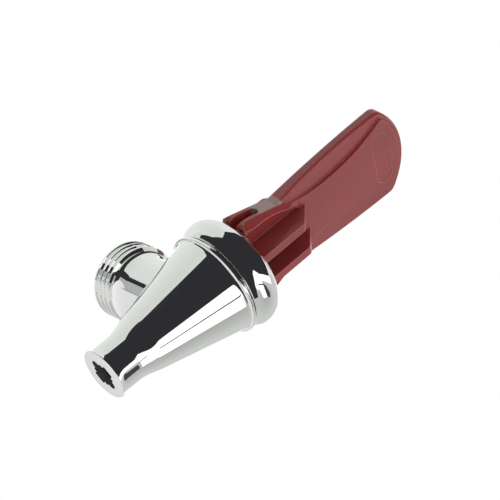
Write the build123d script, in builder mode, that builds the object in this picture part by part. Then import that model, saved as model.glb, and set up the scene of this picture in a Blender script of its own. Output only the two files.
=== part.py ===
from build123d import *
import math
import os

# Draw-off tap for a water boiler, in millimetres.
# The spout points down, the lever stands up, and the inlet shank runs back along +Y.
# The origin is on the shank's axis where its thread begins, against the boiler's wall.
# A user stands at -Y. The lever is turned a little about the spout's axis, as it was left.

# Heights above the spout's end face
inlet_height = 29.5
lip_height = 38.6
bonnet_height = 48.6
lever_height = 106.9

# Body, outside
spout_end_radius = 7.3
spout_end_round = 0.3
spout_radius = 6.85
spout_flare = 2.6
nozzle_height = 6.6
cone_start_height = 14.4
cone_start_radius = 8.6
cone_top_radius = 13.65
lip_radius = 14.85
lip_thickness = 1.1
lip_fillet = 1.2
lip_round = 0.4
neck_radius = 12.6
neck_length = 4.8

# Body, inside
outlet_plate = 2.4
outlet_bore_radius = 4.3
seat_height = 16.5
seat_rise = 1.5
seat_width = 0.9
chamber_floor_radius = 6.2
chamber_taper_height = 11.0
chamber_radius = 8.6
flange_seat_height = 34.9
barrel_radius = 10.5

# Cross-shaped outlet
outlet_turn = -35.0
slot_length = 8.9
slot_tip_width = 2.7
slot_root_width = 4.9
slot_root_length = 5.6
bar_length = 7.4
bar_width = 3.4

# Inlet shank, with a half inch parallel pipe thread at its end
stand_off = 19.7
thread_radius = 10.4775
thread_length = 7.2
thread_chamfer = 0.7
thread_relief = 1.2
shank_neck_radius = 9.25
shank_waist_radius = 8.7
shank_waist = 3.2
inlet_bore_radius = 4.6

# Bonnet
bonnet_gap = 0.5
bonnet_foot_radius = 14.4
bonnet_round = 0.3
dome_radius = 15.9
dome_rise = 3.9
bonnet_rim_radius = 14.1
bonnet_thickness = 2.2
bonnet_bore_radius = 4.5
thread_clearance = 0.12

# Guide bush, pressed into the bonnet
bush_press = 0.02
bush_flange_radius = 6.4
bush_flange = 1.0
bush_nose_radius = 3.9
bush_nose = 3.2
bush_setback = 0.2

# Clamp sleeve, held between the bonnet and the seat cup's flange
sleeve_wall = 2.2
sleeve_clearance = 0.1

# Seat cup, a soft moulding with a bellows above its foot
cup_flange = 1.4
cup_flange_clearance = 0.15
cup_foot_radius = 5.7
cup_foot_height = 6.4
cup_foot_round = 0.8
cup_bore_radius = 3.7
cup_fit = 0.05
bellows_wall = 0.9
bellows_swell = 1.3
bellows_folds = 3

# Stem
stem_radius = 2.5
stem_fit = 0.05
button_radius = 3.4
button_thickness = 2.2
button_lift = 2.0
button_neck_radius = 1.9
button_neck = 1.4
eye_radius = 3.0
eye_width = 5.4
eye_length = 3.7

# Retaining clip, spring washer and spring
clip_lift = 0.6
clip_thickness = 0.6
clip_radius = 4.4
clip_mouth = 3.6
clip_fit = 0.06
groove_depth = 0.55
spring_washer_radius = 7.2
spring_washer_thickness = 1.0
spring_radius = 4.7
spring_wire_radius = 0.4
spring_turns = 3.75
spring_gap = 0.05

# Foot washer, between the bonnet and the lever's feet
foot_washer_radius = 11.6
foot_washer_thickness = 0.6
foot_washer_clearance = 0.5

# Lever hub, with the fork that holds the pin
lever_turn = 12.0
foot_gap = 0.1
pin_rise = 5.0
pin_radius = 1.0
pin_fit = 0.05
pin_press = 0.01
pin_end_gap = 0.1
fork_inside = 6.2
fork_wall = 2.3
fork_depth = 8.3
fork_taper = 0.3
fork_foot_radius = 1.2
fork_shoulder_rise = 16.2
fork_corner_radius = 1.3
fork_top_rise = 21.0
snap_width = 1.6
head_room = 1.1
hub_width = 28.2
hub_depth = 4.2
hub_side_rise = 2.6
hub_roof_rise = 15.2
hub_roof_depth = 3.7
hub_top_depth = 2.1
hub_roof_width = 21.2
hub_foot_radius = 1.6
hub_bevel = 1.8
pocket_slope = 25.0
pocket_side = 11.9
pocket_side_rise = 3.5
pocket_arch = 10.1
pocket_arch_rise = 13.0
notch_width = 2.9
notch_rise = 8.2
notch_reach = 10.6

# Lever blade, with a waisted pad on both faces
blade_foot_rise = 8.6
blade_root_width = 20.8
blade_tip_width = 28.6
blade_tip_drop = 6.0
blade_bulge = 1.2
blade_root_thickness = 4.8
blade_thickness = 3.2
blade_tip_thickness = 4.0
blade_corner_radius = 3.0
blade_edge_radius = 0.9
pad_thickness = 5.0
pad_foot_rise = 12.2
pad_root_rise = 15.2
pad_root_width = 19.6
pad_waist_width = 14.6
pad_waist_share = 0.445
pad_tip_inset = 1.8
pad_corner_radius = 1.2
pad_edge_radius = 0.3
panel_width = 16.4
panel_height = 5.2
panel_drop = 8.2
panel_corner_radius = 2.2
panel_depth = 0.2

# Heights in the part's own frame, above the shank's axis
spout_end = -inlet_height
nozzle_z = spout_end + nozzle_height
cone_z = spout_end + cone_start_height
outlet_z = spout_end + outlet_plate
seat_z = spout_end + seat_height
floor_z = seat_z - seat_rise
flange_z = spout_end + flange_seat_height
cup_top_z = flange_z + cup_flange
lip_z = spout_end + lip_height
lip_top_z = lip_z + lip_thickness
neck_z = lip_top_z + neck_length
bonnet_z = lip_top_z + bonnet_gap
bonnet_top_z = spout_end + bonnet_height
ceiling_z = bonnet_top_z - bonnet_thickness
clip_z = cup_top_z + clip_lift
washer_z = clip_z + clip_thickness
spring_z = washer_z + spring_washer_thickness
bush_z = ceiling_z - bush_flange
foot_washer_z = bonnet_top_z + foot_washer_thickness
foot_z = foot_washer_z + foot_gap
pin_z = foot_z + pin_rise
fork_top_z = foot_z + fork_top_rise
lever_top_z = spout_end + lever_height

# The spout's axis, the section through it, and the turned lever's own planes
spout_axis = Axis((0, -stand_off, 0), (0, 0, 1))
section = Plane(origin=(0, -stand_off, 0), x_dir=(1, 0, 0), z_dir=(0, -1, 0))
turn = math.radians(lever_turn)
across = Vector(math.cos(turn), math.sin(turn), 0)
rearward = Vector(-math.sin(turn), math.cos(turn), 0)
lever_side = Plane(origin=(0, -stand_off, 0), x_dir=rearward, z_dir=across)
lever_front = Plane(origin=(0, -stand_off, 0), x_dir=across, z_dir=-rearward)
lever_rear = Plane(origin=(0, -stand_off, 0), x_dir=-across, z_dir=rearward)


def level(height):
    """The horizontal plane at a height, centred on the spout's axis."""
    return Plane(origin=(0, -stand_off, height))


def turned_level(height):
    """The same plane, turned with the lever."""
    return Plane(origin=(0, -stand_off, height), x_dir=across, z_dir=(0, 0, 1))


def on_lever(aside, back, height):
    """A point given by its distances along the lever's width, depth and height."""
    return turned_level(height).from_local_coords(Vector(aside, back, 0))


os.makedirs("parts", exist_ok=True)


# Body: one casting, from the outlet to the neck that the bonnet screws on, with its inlet shank
cone_lean = (cone_top_radius - cone_start_radius) / (lip_z - lip_fillet - cone_z)

with BuildPart() as tap_body:
    with BuildSketch(section):
        with BuildLine():
            Line((0, spout_end), (spout_end_radius - spout_end_round, spout_end))
            RadiusArc(
                (spout_end_radius - spout_end_round, spout_end),
                (spout_end_radius, spout_end + spout_end_round),
                -spout_end_round,
            )
            Spline(
                (spout_end_radius, spout_end + spout_end_round),
                (spout_radius, spout_end + spout_flare),
                tangents=((-0.5, 1), (0, 1)),
            )
            Line((spout_radius, spout_end + spout_flare), (spout_radius, nozzle_z))
            Spline(
                (spout_radius, nozzle_z),
                (cone_start_radius, cone_z),
                tangents=((0, 1), (cone_lean, 1)),
            )
            Line((cone_start_radius, cone_z), (cone_top_radius, lip_z - lip_fillet))
            Spline(
                (cone_top_radius, lip_z - lip_fillet),
                (lip_radius - lip_round, lip_z),
                tangents=((cone_lean, 1), (1, 0.3)),
            )
            RadiusArc((lip_radius - lip_round, lip_z), (lip_radius, lip_z + lip_round), -lip_round)
            Line((lip_radius, lip_z + lip_round), (lip_radius, lip_top_z - lip_round))
            RadiusArc(
                (lip_radius, lip_top_z - lip_round), (lip_radius - lip_round, lip_top_z), -lip_round
            )
            Polyline(
                (lip_radius - lip_round, lip_top_z),
                (neck_radius, lip_top_z),
                (neck_radius, neck_z),
                (0, neck_z),
                (0, spout_end),
            )
        make_face()
    revolve(axis=spout_axis)
    # The shank is waisted behind its thread
    waist_end = -thread_relief - shank_waist
    with BuildSketch(Plane.YZ):
        with BuildLine():
            Polyline(
                (-stand_off + outlet_bore_radius, 0),
                (-stand_off + outlet_bore_radius, shank_waist_radius),
                (waist_end, shank_waist_radius),
            )
            Spline(
                (waist_end, shank_waist_radius),
                (-thread_relief, shank_neck_radius),
                tangents=((1, 0), (1, 0.3)),
            )
            Polyline(
                (-thread_relief, shank_neck_radius),
                (0, thread_radius),
                (thread_length - thread_chamfer, thread_radius),
                (thread_length, thread_radius - thread_chamfer),
                (thread_length, 0),
                (-stand_off + outlet_bore_radius, 0),
            )
        make_face()
    revolve(axis=Axis.Y)
    # The chamber tapers down to a raised seat round the outlet bore
    with BuildSketch(section):
        with BuildLine():
            Polyline(
                (0, outlet_z),
                (outlet_bore_radius, outlet_z),
                (outlet_bore_radius, seat_z),
                (outlet_bore_radius + seat_width, seat_z),
                (outlet_bore_radius + seat_width, floor_z),
                (chamber_floor_radius, floor_z),
                (chamber_radius, floor_z + chamber_taper_height),
                (chamber_radius, flange_z),
                (barrel_radius, flange_z),
                (barrel_radius, neck_z),
                (0, neck_z),
                (0, outlet_z),
            )
        make_face()
    revolve(axis=spout_axis, mode=Mode.SUBTRACT)
    with BuildSketch(Plane.XZ.offset(stand_off)):
        Circle(inlet_bore_radius)
    extrude(amount=-(stand_off + thread_length), mode=Mode.SUBTRACT)
    # The outlet is a cross
    with BuildSketch(level(spout_end).rotated((0, 0, outlet_turn))):
        SlotOverall(slot_length, slot_tip_width)
        RectangleRounded(slot_root_length, slot_root_width, slot_tip_width / 4)
        RectangleRounded(bar_width, bar_length, slot_tip_width / 6)
    extrude(amount=outlet_plate, mode=Mode.SUBTRACT)

tap_body.part.label = "tap_body"
export_step(tap_body.part, "parts/tap_body.step")


# Seat cup: the foot shuts on the seat, and the bellows keeps water out of the bonnet
button_z = seat_z + button_lift
button_top_z = button_z + button_thickness
stem_foot_z = button_top_z + button_neck
cup_foot_top_z = seat_z + cup_foot_height
fold = (flange_z - cup_foot_top_z) / (2 * bellows_folds)
wave = []
for i in range(2 * bellows_folds + 1):
    wave.append((cup_bore_radius + bellows_swell * (i % 2), cup_foot_top_z + i * fold))

with BuildPart() as seat_cup:
    with BuildSketch(section):
        with BuildLine():
            Line((0, seat_z), (cup_foot_radius - cup_foot_round, seat_z))
            RadiusArc(
                (cup_foot_radius - cup_foot_round, seat_z),
                (cup_foot_radius, seat_z + cup_foot_round),
                -cup_foot_round,
            )
            Line(
                (cup_foot_radius, seat_z + cup_foot_round),
                (cup_foot_radius, cup_foot_top_z - cup_foot_round),
            )
            Line(
                (cup_foot_radius, cup_foot_top_z - cup_foot_round),
                (cup_bore_radius + bellows_wall, cup_foot_top_z),
            )
            Spline(*[(r + bellows_wall, z) for r, z in wave])
            Polyline(
                (cup_bore_radius + bellows_wall, flange_z),
                (barrel_radius - cup_flange_clearance, flange_z),
                (barrel_radius - cup_flange_clearance, cup_top_z),
                (cup_bore_radius, cup_top_z),
                (cup_bore_radius, flange_z),
            )
            Spline(*reversed(wave))
            Polyline(
                (cup_bore_radius, cup_foot_top_z),
                (cup_bore_radius, stem_foot_z),
                (button_neck_radius + cup_fit, stem_foot_z),
                (button_neck_radius + cup_fit, button_top_z + cup_fit),
                (button_radius + cup_fit, button_top_z + cup_fit),
                (button_radius + cup_fit, button_z - cup_fit),
                (0, button_z - cup_fit),
                (0, seat_z),
            )
        make_face()
    revolve(axis=spout_axis)

seat_cup.part.label = "seat_cup"
export_step(seat_cup.part, "parts/seat_cup.step")


# Clamp sleeve: the bonnet presses it on the seat cup's flange
with BuildPart() as clamp_sleeve:
    with BuildSketch(level(cup_top_z)):
        Circle(barrel_radius - sleeve_clearance)
        Circle(barrel_radius - sleeve_clearance - sleeve_wall, mode=Mode.SUBTRACT)
    extrude(amount=ceiling_z - cup_top_z)

clamp_sleeve.part.label = "clamp_sleeve"
export_step(clamp_sleeve.part, "parts/clamp_sleeve.step")


# Bonnet: a domed cap that screws over the body's neck
with BuildPart() as bonnet:
    with BuildSketch(section):
        with BuildLine():
            Line(
                (neck_radius + thread_clearance, bonnet_z),
                (bonnet_foot_radius - bonnet_round, bonnet_z),
            )
            RadiusArc(
                (bonnet_foot_radius - bonnet_round, bonnet_z),
                (bonnet_foot_radius, bonnet_z + bonnet_round),
                -bonnet_round,
            )
            Spline(
                (bonnet_foot_radius, bonnet_z + bonnet_round),
                (dome_radius, bonnet_z + dome_rise),
                (bonnet_rim_radius, bonnet_top_z - bonnet_round),
                tangents=((0.75, 1), (-0.75, 0.65)),
            )
            Polyline(
                (bonnet_rim_radius, bonnet_top_z - bonnet_round),
                (bonnet_rim_radius - bonnet_round, bonnet_top_z),
                (bonnet_bore_radius, bonnet_top_z),
                (bonnet_bore_radius, ceiling_z),
                (neck_radius + thread_clearance, ceiling_z),
                (neck_radius + thread_clearance, bonnet_z),
            )
        make_face()
    revolve(axis=spout_axis)

bonnet.part.label = "bonnet"
export_step(bonnet.part, "parts/bonnet.step")


# Guide bush: it carries the stem and the top of the spring
with BuildPart() as guide_bush:
    with BuildSketch(section):
        with BuildLine():
            Polyline(
                (stem_radius + stem_fit, bush_z - bush_nose),
                (bush_nose_radius, bush_z - bush_nose),
                (bush_nose_radius, bush_z),
                (bush_flange_radius, bush_z),
                (bush_flange_radius, ceiling_z),
                (bonnet_bore_radius - bush_press, ceiling_z),
                (bonnet_bore_radius - bush_press, bonnet_top_z - bush_setback),
                (stem_radius + stem_fit, bonnet_top_z - bush_setback),
                close=True,
            )
        make_face()
    revolve(axis=spout_axis)

guide_bush.part.label = "guide_bush"
export_step(guide_bush.part, "parts/guide_bush.step")


# Stem: a turned rod with a button for the cup, a groove for the clip and an eye for the pin
with BuildPart() as stem:
    eye_foot_z = pin_z - eye_length
    with BuildSketch(section):
        with BuildLine():
            Polyline(
                (0, button_z),
                (button_radius, button_z),
                (button_radius, button_top_z),
                (button_neck_radius, button_top_z),
                (button_neck_radius, stem_foot_z),
                (stem_radius, stem_foot_z),
                (stem_radius, clip_z),
                (stem_radius - groove_depth, clip_z),
                (stem_radius - groove_depth, clip_z + clip_thickness),
                (stem_radius, clip_z + clip_thickness),
                (stem_radius, eye_foot_z),
                (0, eye_foot_z),
                (0, button_z),
            )
        make_face()
    revolve(axis=spout_axis)
    with BuildSketch(lever_side.offset(-eye_width / 2)):
        with Locations((0, pin_z)):
            Circle(eye_radius)
        with Locations((0, pin_z - eye_length / 2)):
            Rectangle(2 * stem_radius, eye_length)
        with Locations((0, pin_z)):
            Circle(pin_radius + pin_press, mode=Mode.SUBTRACT)
    extrude(amount=eye_width)

stem.part.label = "stem"
export_step(stem.part, "parts/stem.step")


# Retaining clip: it snaps into the stem's groove and carries the spring washer
with BuildPart() as retaining_clip:
    with BuildSketch(level(clip_z)):
        Circle(clip_radius)
        Circle(stem_radius - groove_depth + clip_fit, mode=Mode.SUBTRACT)
        with Locations((clip_radius, 0)):
            Rectangle(2 * clip_radius, clip_mouth, mode=Mode.SUBTRACT)
    extrude(amount=clip_thickness)

retaining_clip.part.label = "retaining_clip"
export_step(retaining_clip.part, "parts/retaining_clip.step")


with BuildPart() as spring_washer:
    with BuildSketch(level(washer_z)):
        Circle(spring_washer_radius)
        Circle(stem_radius + stem_fit, mode=Mode.SUBTRACT)
    extrude(amount=spring_washer_thickness)

spring_washer.part.label = "spring_washer"
export_step(spring_washer.part, "parts/spring_washer.step")


# Return spring: it holds the cup down on its seat
with BuildPart() as return_spring:
    spring_foot_z = spring_z + spring_wire_radius + spring_gap
    spring_rise = bush_z - spring_z - 2 * (spring_wire_radius + spring_gap)
    with BuildLine() as coil:
        Helix(
            pitch=spring_rise / spring_turns,
            height=spring_rise,
            radius=spring_radius,
            center=(0, -stand_off, spring_foot_z),
        )
    with BuildSketch(Plane(origin=coil.line @ 0, z_dir=coil.line % 0)):
        Circle(spring_wire_radius)
    sweep()

return_spring.part.label = "return_spring"
export_step(return_spring.part, "parts/return_spring.step")


# Foot washer: the lever's feet rock on it, and it lets the lever turn on the bonnet
with BuildPart() as foot_washer:
    with BuildSketch(level(bonnet_top_z)):
        Circle(foot_washer_radius)
        Circle(stem_radius + foot_washer_clearance, mode=Mode.SUBTRACT)
    extrude(amount=foot_washer_thickness)

foot_washer.part.label = "foot_washer"
export_step(foot_washer.part, "parts/foot_washer.step")


# Pivot pin, pressed through the stem's eye
fork_half = fork_inside / 2 + fork_wall
pin_half = fork_half - pin_end_gap

with BuildPart() as pivot_pin:
    with BuildSketch(lever_side.offset(-pin_half)):
        with Locations((0, pin_z)):
            Circle(pin_radius)
    extrude(amount=2 * pin_half)
    chamfer(pivot_pin.edges(), length=pin_radius / 6)

pivot_pin.part.label = "pivot_pin"
export_step(pivot_pin.part, "parts/pivot_pin.step")


# Lever hub: a block that narrows up to the blade, with bevelled corners, before its pockets
side_z = foot_z + hub_side_rise
roof_z = foot_z + hub_roof_rise

with BuildPart() as hub:
    with BuildSketch(lever_front.offset(-hub_depth)) as hub_front:
        with BuildLine():
            Polyline(
                (-hub_width / 2, foot_z),
                (hub_width / 2, foot_z),
                (hub_width / 2, side_z),
                (hub_roof_width / 2, roof_z),
                (fork_half, fork_top_z),
                (-fork_half, fork_top_z),
                (-hub_roof_width / 2, roof_z),
                (-hub_width / 2, side_z),
                close=True,
            )
        make_face()
        fillet(hub_front.vertices().group_by(Axis.Y)[0], radius=hub_foot_radius)
    extrude(amount=2 * hub_depth)
    with BuildSketch(lever_side.offset(-hub_width / 2)):
        with BuildLine():
            Polyline(
                (-hub_depth, foot_z),
                (hub_depth, foot_z),
                (hub_depth, side_z),
                (hub_roof_depth, roof_z),
                (hub_top_depth, fork_top_z),
                (-hub_top_depth, fork_top_z),
                (-hub_roof_depth, roof_z),
                (-hub_depth, side_z),
                close=True,
            )
        make_face()
    extrude(amount=hub_width, mode=Mode.INTERSECT)
    # The four upright corners are cut back, so that a strip is left along each side
    for side in (-1, 1):
        for face in (-1, 1):
            low = on_lever(side * hub_width / 2, face * (hub_depth - hub_bevel), side_z)
            high = on_lever(side * hub_roof_width / 2, face * (hub_roof_depth - hub_bevel), roof_z)
            beside = on_lever(side * (hub_width / 2 - hub_bevel), face * hub_depth, side_z)
            outward = (high - low).cross(low - beside) * side * face
            split(bisect_by=Plane(origin=low, z_dir=outward), keep=Keep.BOTTOM)

# Lever pad: it stands out on both faces of the blade, with a waist at half height
pad_z = foot_z + pad_root_rise
pad_foot_z = foot_z + pad_foot_rise
pad_tip = blade_tip_width / 2 - pad_tip_inset
blade_corner_z = lever_top_z - blade_tip_drop
pad_waist_z = pad_z + pad_waist_share * (blade_corner_z - pad_z)
front_axis = Axis((0, -stand_off, 0), lever_front.z_dir)

with BuildPart() as pad:
    with BuildSketch(lever_front.offset(-pad_thickness / 2)) as pad_outline:
        with BuildLine():
            Spline(
                (pad_root_width / 2, pad_z),
                (pad_waist_width / 2, pad_waist_z),
                (pad_tip, blade_corner_z),
                tangents=((-0.45, 1), (0.55, 1)),
            )
            ThreePointArc(
                (pad_tip, blade_corner_z),
                (0, lever_top_z - pad_tip_inset),
                (-pad_tip, blade_corner_z),
            )
            Spline(
                (-pad_tip, blade_corner_z),
                (-pad_waist_width / 2, pad_waist_z),
                (-pad_root_width / 2, pad_z),
                tangents=((0.55, -1), (-0.45, -1)),
            )
            Polyline(
                (-pad_root_width / 2, pad_z),
                (-pad_root_width / 2, pad_foot_z),
                (pad_root_width / 2, pad_foot_z),
                (pad_root_width / 2, pad_z),
            )
        make_face()
        pad_corners = pad_outline.vertices().filter_by(lambda v: v.Y > pad_z + 1)
        fillet(pad_corners, radius=pad_corner_radius)
    extrude(amount=pad_thickness)
    pad_faces = pad.faces().sort_by(front_axis)
    fillet(pad_faces[0].edges() + pad_faces[-1].edges(), radius=pad_edge_radius)

# Lever: blade and pad first, then the hub with its pockets, notches and fork
blade_z = foot_z + blade_foot_rise
blade_middle_z = (blade_z + blade_corner_z) / 2
blade_middle = (blade_root_width + blade_tip_width) / 4 + blade_bulge

pocket_side_z = foot_z + pocket_side_rise
pocket_arch_z = foot_z + pocket_arch_rise

with BuildPart() as lever:
    with BuildSketch(lever_front.offset(-pad_thickness / 2)) as blade_outline:
        with BuildLine():
            Line((-blade_root_width / 2, blade_z), (blade_root_width / 2, blade_z))
            ThreePointArc(
                (blade_root_width / 2, blade_z),
                (blade_middle, blade_middle_z),
                (blade_tip_width / 2, blade_corner_z),
            )
            ThreePointArc(
                (blade_tip_width / 2, blade_corner_z),
                (0, lever_top_z),
                (-blade_tip_width / 2, blade_corner_z),
            )
            ThreePointArc(
                (-blade_tip_width / 2, blade_corner_z),
                (-blade_middle, blade_middle_z),
                (-blade_root_width / 2, blade_z),
            )
        make_face()
        tip_corners = blade_outline.vertices().filter_by(lambda v: v.Y > blade_z + 1)
        fillet(tip_corners, radius=blade_corner_radius)
    extrude(amount=pad_thickness)
    # Both faces are scooped along the blade, deepest where the pad is narrow
    with BuildSketch(lever_side.offset(-blade_tip_width)):
        with BuildLine():
            Line((-blade_root_thickness / 2, blade_z), (blade_root_thickness / 2, blade_z))
            ThreePointArc(
                (blade_root_thickness / 2, blade_z),
                (blade_thickness / 2, pad_waist_z),
                (blade_tip_thickness / 2, lever_top_z + 1),
            )
            Line(
                (blade_tip_thickness / 2, lever_top_z + 1),
                (-blade_tip_thickness / 2, lever_top_z + 1),
            )
            ThreePointArc(
                (-blade_tip_thickness / 2, lever_top_z + 1),
                (-blade_thickness / 2, pad_waist_z),
                (-blade_root_thickness / 2, blade_z),
            )
        make_face()
    extrude(amount=2 * blade_tip_width, mode=Mode.INTERSECT)
    long_edges = lever.edges().filter_by(lambda e: e.length > 2 * blade_thickness)
    free_edges = long_edges.filter_by(lambda e: e.center().Z > blade_z + 1)
    fillet(free_edges, radius=blade_edge_radius)
    add(pad.part)
    # A shallow sunk panel near the tip, left bare
    with BuildSketch(lever_front.offset(pad_thickness / 2 - panel_depth)):
        with Locations((0, lever_top_z - panel_drop)):
            RectangleRounded(panel_width, panel_height, panel_corner_radius)
    extrude(amount=panel_depth, mode=Mode.SUBTRACT)
    add(hub.part)
    # A sloping pocket in front and behind, on each side of the fork and open at the foot
    for outward in (lever_rear, lever_front):
        with BuildSketch(outward.offset(-hub_depth)):
            with BuildLine():
                Polyline(
                    (-pocket_side, pocket_side_z),
                    (-pocket_side, foot_z - hub_depth),
                    (pocket_side, foot_z - hub_depth),
                    (pocket_side, pocket_side_z),
                )
                ThreePointArc(
                    (pocket_side, pocket_side_z),
                    (pocket_arch, pocket_arch_z),
                    (fork_half, fork_top_z),
                )
                Line((fork_half, fork_top_z), (-fork_half, fork_top_z))
                ThreePointArc(
                    (-fork_half, fork_top_z),
                    (-pocket_arch, pocket_arch_z),
                    (-pocket_side, pocket_side_z),
                )
            make_face()
        extrude(amount=hub_depth - blade_thickness / 2, taper=pocket_slope, mode=Mode.SUBTRACT)
    # A notch in each side, open at the foot
    for side in (-1, 1):
        with BuildSketch(lever_side.offset(side * notch_reach)):
            with Locations((0, foot_z + notch_rise - notch_width / 2)):
                Circle(notch_width / 2)
            with Locations((0, foot_z)):
                Rectangle(notch_width, 2 * notch_rise - notch_width)
        extrude(amount=side * (hub_width / 2 - notch_reach), mode=Mode.SUBTRACT)
    # Room for the stem's head between the fork's walls
    with BuildSketch(turned_level(foot_z)):
        Rectangle(fork_inside, 2 * hub_depth)
    extrude(amount=pin_rise + eye_radius + head_room, mode=Mode.SUBTRACT)
    # The fork's two walls stand out in front and behind, and their corners are the feet
    for side in (-1, 1):
        with BuildSketch(lever_side.offset(side * fork_inside / 2)) as fork_outline:
            with BuildLine():
                Polyline(
                    (-fork_depth, foot_z),
                    (fork_depth, foot_z),
                    (fork_depth - fork_taper, foot_z + fork_shoulder_rise),
                    (blade_thickness / 2, fork_top_z + blade_thickness / 2),
                    (-blade_thickness / 2, fork_top_z + blade_thickness / 2),
                    (-fork_depth + fork_taper, foot_z + fork_shoulder_rise),
                    close=True,
                )
            make_face()
            fillet(fork_outline.vertices().group_by(Axis.Y)[0], radius=fork_foot_radius)
            fillet(fork_outline.vertices().group_by(Axis.Y)[-2], radius=fork_corner_radius)
        extrude(amount=side * fork_wall)
    # The pin snaps up into its holes through a narrower mouth
    with BuildSketch(lever_side.offset(-fork_half)):
        with Locations((0, pin_z)):
            Circle(pin_radius + pin_fit)
        with Locations((0, (foot_z + pin_z) / 2)):
            Rectangle(snap_width, pin_rise)
    extrude(amount=2 * fork_half, mode=Mode.SUBTRACT)

lever.part.label = "lever"
export_step(lever.part, "parts/lever.step")
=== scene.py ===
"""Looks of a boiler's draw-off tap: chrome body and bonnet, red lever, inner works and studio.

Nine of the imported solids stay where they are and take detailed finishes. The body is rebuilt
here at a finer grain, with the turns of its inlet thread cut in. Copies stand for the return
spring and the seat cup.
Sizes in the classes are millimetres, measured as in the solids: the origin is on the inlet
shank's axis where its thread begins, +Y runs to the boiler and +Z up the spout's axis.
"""

import logging
import math
from dataclasses import dataclass, field
from enum import Enum

import bmesh
import bpy
from mathutils import Matrix, Vector


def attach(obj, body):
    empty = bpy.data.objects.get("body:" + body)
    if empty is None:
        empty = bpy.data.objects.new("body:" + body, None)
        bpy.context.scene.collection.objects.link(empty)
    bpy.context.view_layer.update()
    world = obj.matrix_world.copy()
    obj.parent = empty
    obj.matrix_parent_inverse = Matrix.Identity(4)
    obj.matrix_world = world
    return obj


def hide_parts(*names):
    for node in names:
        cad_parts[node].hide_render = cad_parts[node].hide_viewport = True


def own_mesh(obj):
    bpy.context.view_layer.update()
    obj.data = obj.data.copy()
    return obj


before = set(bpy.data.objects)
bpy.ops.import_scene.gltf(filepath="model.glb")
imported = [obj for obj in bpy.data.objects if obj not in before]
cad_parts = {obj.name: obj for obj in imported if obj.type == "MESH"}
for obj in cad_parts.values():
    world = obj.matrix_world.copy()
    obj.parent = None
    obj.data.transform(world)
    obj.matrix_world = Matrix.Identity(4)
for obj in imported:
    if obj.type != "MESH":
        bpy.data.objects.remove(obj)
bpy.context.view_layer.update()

MM = 0.001
STAND_OFF = 19.7
POLE_RADIUS = 1e-6
WELD_DISTANCE = 1e-7
log = logging.getLogger("draw_off_tap")

Point = tuple[float, float]
Place = tuple[float, float, float]
Rgb = tuple[float, float, float]


class Slot(Enum):
    """The record's material slots."""

    CHROME = "chrome_plate"
    RED = "red_plastic"
    NYLON = "clear_nylon"
    WHITE = "white_plastic"
    SILICONE = "silicone"
    STEEL = "bare_steel"


class BooleanKind(Enum):
    """How one solid changes another."""

    JOIN = "UNION"
    CUT = "DIFFERENCE"


class LatheAxis(Enum):
    """The axis that a profile is turned about."""

    SPOUT = "spout"
    SHANK = "shank"


# ---- shader node helpers


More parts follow.
